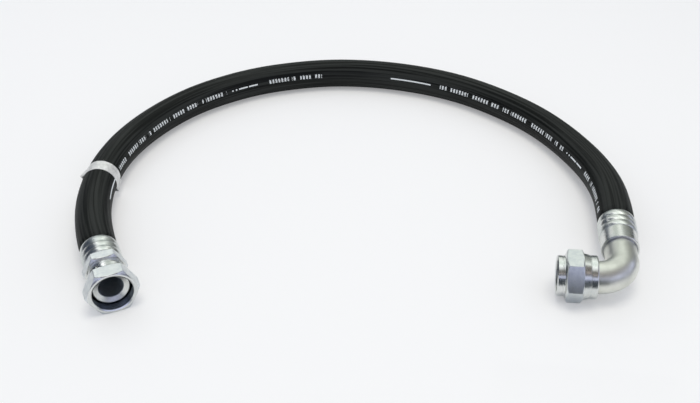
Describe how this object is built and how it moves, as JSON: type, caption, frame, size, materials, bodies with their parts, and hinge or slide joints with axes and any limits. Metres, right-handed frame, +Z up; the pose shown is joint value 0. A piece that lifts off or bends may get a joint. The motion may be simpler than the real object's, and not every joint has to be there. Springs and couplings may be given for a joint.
{
  "type": "hydraulic hose assembly",
  "caption": "Braided hydraulic hose with crimped ends: a straight stem with a swivel nut, and a brazed right-angle tube elbow with a swivel nut.",
  "frame": {"origin": "on the straight swivel nut's axis, where its thread starts behind the entry chamfer", "axes": "-Y points out of the straight nut's mouth, +Z is up from the surface that the hose lies on, +X runs towards the elbow's side"},
  "size_m": [0.6116, 0.5818, 0.047],
  "materials": {
    "textile_braid": "black impregnated textile braid, satin",
    "braid_wire": "bright drawn wire",
    "tube_rubber": "smooth black rubber",
    "label_foil": "silver-white foil tape, slightly wrinkled",
    "zinc_ferrule": "zinc plated, pressed, bright",
    "zinc_stem": "zinc plated, turned, bright",
    "zinc_nut": "zinc plated, milled and turned, bright",
    "zinc_tube": "zinc plated drawn tube, satin",
    "spring_wire": "drawn wire",
    "braze_metal": "brazing metal under thin plating"
  },
  "bodies": {
    "hose_and_fittings": {"hose_cover": "textile_braid", "wire_braid": "braid_wire", "inner_tube": "tube_rubber", "label_tape": "label_foil", "straight_ferrule": "zinc_ferrule", "straight_stem": "zinc_stem", "elbow_ferrule": "zinc_ferrule", "elbow_stem": "zinc_stem", "collar_braze_ring": "braze_metal", "elbow_tube": "zinc_tube", "nose_braze_ring": "braze_metal", "elbow_nose": "zinc_stem"},
    "straight_nut": {"straight_swivel_nut": "zinc_nut", "straight_nut_wire": "spring_wire"},
    "elbow_nut": {"elbow_swivel_nut": "zinc_nut", "elbow_nut_wire": "spring_wire"}
  },
  "joints": [
    {"name": "straight_nut_turn", "type": "hinge", "parent": "hose_and_fittings", "child": "straight_nut", "pos_m": [0, 0, 0], "axis": [0, -1, 0], "continuous": true},
    {"name": "elbow_nut_turn", "type": "hinge", "parent": "hose_and_fittings", "child": "elbow_nut", "pos_m": [0.40323, -0.1495, -0.00072], "axis": [-0.8319, 0.5506, -0.0698], "continuous": true}
  ]
}
